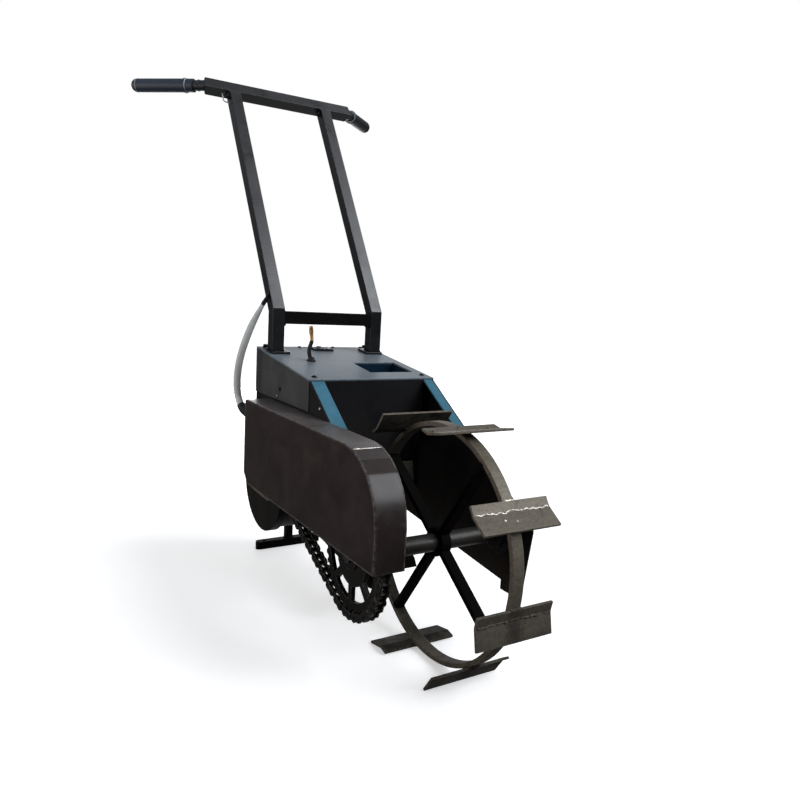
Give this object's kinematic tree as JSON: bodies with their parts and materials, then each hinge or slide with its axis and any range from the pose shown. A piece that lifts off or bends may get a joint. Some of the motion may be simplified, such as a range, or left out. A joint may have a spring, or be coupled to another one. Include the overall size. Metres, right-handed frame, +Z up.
{
  "type": "mini tiller",
  "caption": "Battery-driven walk-behind mini tiller with a lugged steel wheel, chain drive, battery box, push handle and trailing tool bar.",
  "frame": {"origin": "on the floor, below the middle of the machine's box", "axes": "+X ahead in the direction of travel, +Y to the operator's left, +Z up"},
  "size_m": [1.0912, 0.609, 1.0628],
  "materials": {
    "rusty_steel": "worn steel, thin rust",
    "axle_steel": "black, worn",
    "bearing_iron": "cast, dark",
    "chain_steel": "oiled dark steel",
    "sprocket_steel": "black, worn at the teeth",
    "motor_black": "satin black",
    "panel_paint": "satin dark grey",
    "box_paint": "satin charcoal",
    "flange_paint": "satin teal blue",
    "plate_paint": "satin grey blue",
    "tray_paint": "satin dark blue",
    "battery_case": "matte black",
    "cover_paint": "satin brown black, dusty",
    "handle_paint": "satin slate black",
    "crossbar_black": "satin black",
    "stub_steel": "satin black",
    "tool_black": "satin black",
    "black_rubber": "matte",
    "black_plastic": "matte",
    "terminal_brass": "dull",
    "conduit_grey": "matte light grey"
  },
  "bodies": {
    "frame": {"battery": "battery_case", "battery_shelf": "panel_paint", "chain": "chain_steel", "chain_cover": "cover_paint", "conduit": "conduit_grey", "drawbar": "tool_black", "front_bulkhead": "panel_paint", "gear_case": "motor_black", "handlebar": "handle_paint", "key_switch": "black_plastic", "lead_terminal": "terminal_brass", "left_bearing": "bearing_iron", "left_box_side": "box_paint", "left_front_flange": "flange_paint", "left_grip": "black_rubber", "left_grip_stub": "stub_steel", "left_post_foot": "handle_paint", "left_side_panel": "panel_paint", "left_upright": "handle_paint", "lower_crossbar": "crossbar_black", "lower_gland": "black_plastic", "motor": "motor_black", "motor_sprocket": "sprocket_steel", "power_lead": "black_rubber", "rear_panel": "panel_paint", "recess_tray": "tray_paint", "right_bearing": "bearing_iron", "right_box_side": "box_paint", "right_front_flange": "flange_paint", "right_grip_stub": "stub_steel", "right_post_foot": "handle_paint", "right_side_panel": "panel_paint", "right_upright": "handle_paint", "throttle_collar": "black_plastic", "throttle_grip": "black_rubber", "throttle_wire": "black_rubber", "tool_bar": "tool_black", "tool_bracket": "tool_black", "tool_clamp": "tool_black", "tool_shank": "tool_black", "top_plate": "plate_paint", "upper_gland": "black_plastic"},
    "lug_wheel": {"rim": "rusty_steel", "lugs": "rusty_steel", "spokes": "axle_steel", "axle": "axle_steel", "wheel_sprocket": "sprocket_steel"}
  },
  "joints": [
    {"name": "wheel_spin", "type": "hinge", "parent": "frame", "child": "lug_wheel", "pos_m": [0.34237, 0.01152, 0.20325], "axis": [0, 1, 0], "continuous": true}
  ]
}
